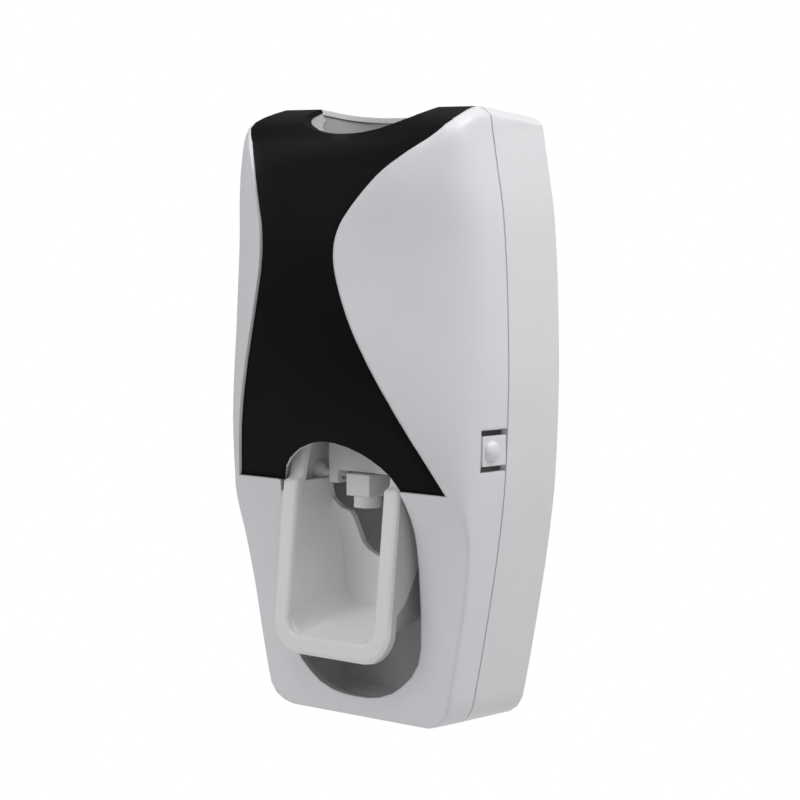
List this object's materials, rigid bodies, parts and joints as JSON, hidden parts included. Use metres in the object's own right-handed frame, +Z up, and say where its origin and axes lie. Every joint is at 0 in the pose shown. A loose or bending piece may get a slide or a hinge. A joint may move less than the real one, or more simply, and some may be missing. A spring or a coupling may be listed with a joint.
{
  "type": "toothpaste dispenser",
  "caption": "Wall-hung toothpaste dispenser: a tube seated upside down feeds a piston pump that a toothbrush works by pressing the cup under the nozzle.",
  "frame": {"origin": "centre of the wall face of the adhesive pad", "axes": "+Z up, +Y into the wall, the front faces -Y, +X to the right as seen from the front"},
  "size_m": [0.0872, 0.0519, 0.155],
  "materials": {
    "white_shell": "smooth white moulded ABS, light gloss",
    "dark_inlay": "black moulded inlay, satin",
    "pad_foam": "grey foam adhesive pad",
    "inner_plastic": "pale grey moulded plastic",
    "pump_plastic": "off-white moulded plastic",
    "seal_rubber": "grey silicone",
    "clear_silicone": "pale silicone",
    "steel": "bright steel"
  },
  "bodies": {
    "housing": {"rear_shell": "white_shell", "wall_pad": "pad_foam", "pump_frame": "inner_plastic", "frame_screws": "steel", "pump_body": "pump_plastic", "pump_cover": "inner_plastic", "cover_screws": "steel", "tube_socket": "inner_plastic", "tube_seal": "clear_silicone", "inlet_valve": "clear_silicone", "outlet_valve": "clear_silicone", "nozzle": "pump_plastic", "pivot_pin_left": "steel", "pivot_pin_right": "steel", "return_spring_left": "steel", "return_spring_right": "steel"},
    "front_cover": {"front_shell": "white_shell", "front_panel": "dark_inlay"},
    "latch_left": {"latch_tab_left": "white_shell"},
    "latch_right": {"latch_tab_right": "white_shell"},
    "lever": {"push_lever": "white_shell", "drive_pin_left": "steel", "drive_pin_right": "steel"},
    "plunger": {"plunger": "pump_plastic", "plunger_seal": "seal_rubber"}
  },
  "joints": [
    {"name": "lever_swing", "type": "hinge", "parent": "housing", "child": "lever", "pos_m": [0, -0.0227, -0.004], "axis": [1, 0, 0], "range_deg": [0, 11], "stiffness_Nm_per_rad": 0.12, "springref_deg": -8.59, "deforming": ["return_spring_left", "return_spring_right"]},
    {"name": "plunger_slide", "type": "slide", "parent": "housing", "child": "plunger", "axis": [0, 1, 0], "range_m": [0, 0.0044]},
    {"name": "cover_slide", "type": "slide", "parent": "housing", "child": "front_cover", "axis": [0, -1, 0], "range_m": [0, 0.045]},
    {"name": "latch_left_bend", "type": "hinge", "parent": "front_cover", "child": "latch_left", "pos_m": [-0.0412, -0.0295, -0.0171], "axis": [0, 0, -1], "range_deg": [0, 4], "stiffness_Nm_per_rad": 0.02},
    {"name": "latch_right_bend", "type": "hinge", "parent": "front_cover", "child": "latch_right", "pos_m": [0.0412, -0.0295, -0.0171], "axis": [0, 0, 1], "range_deg": [0, 4], "stiffness_Nm_per_rad": 0.02}
  ],
  "couplings": [
    {"joint": "plunger_slide", "follows": "lever_swing", "m_per_rad": 0.0225}
  ]
}
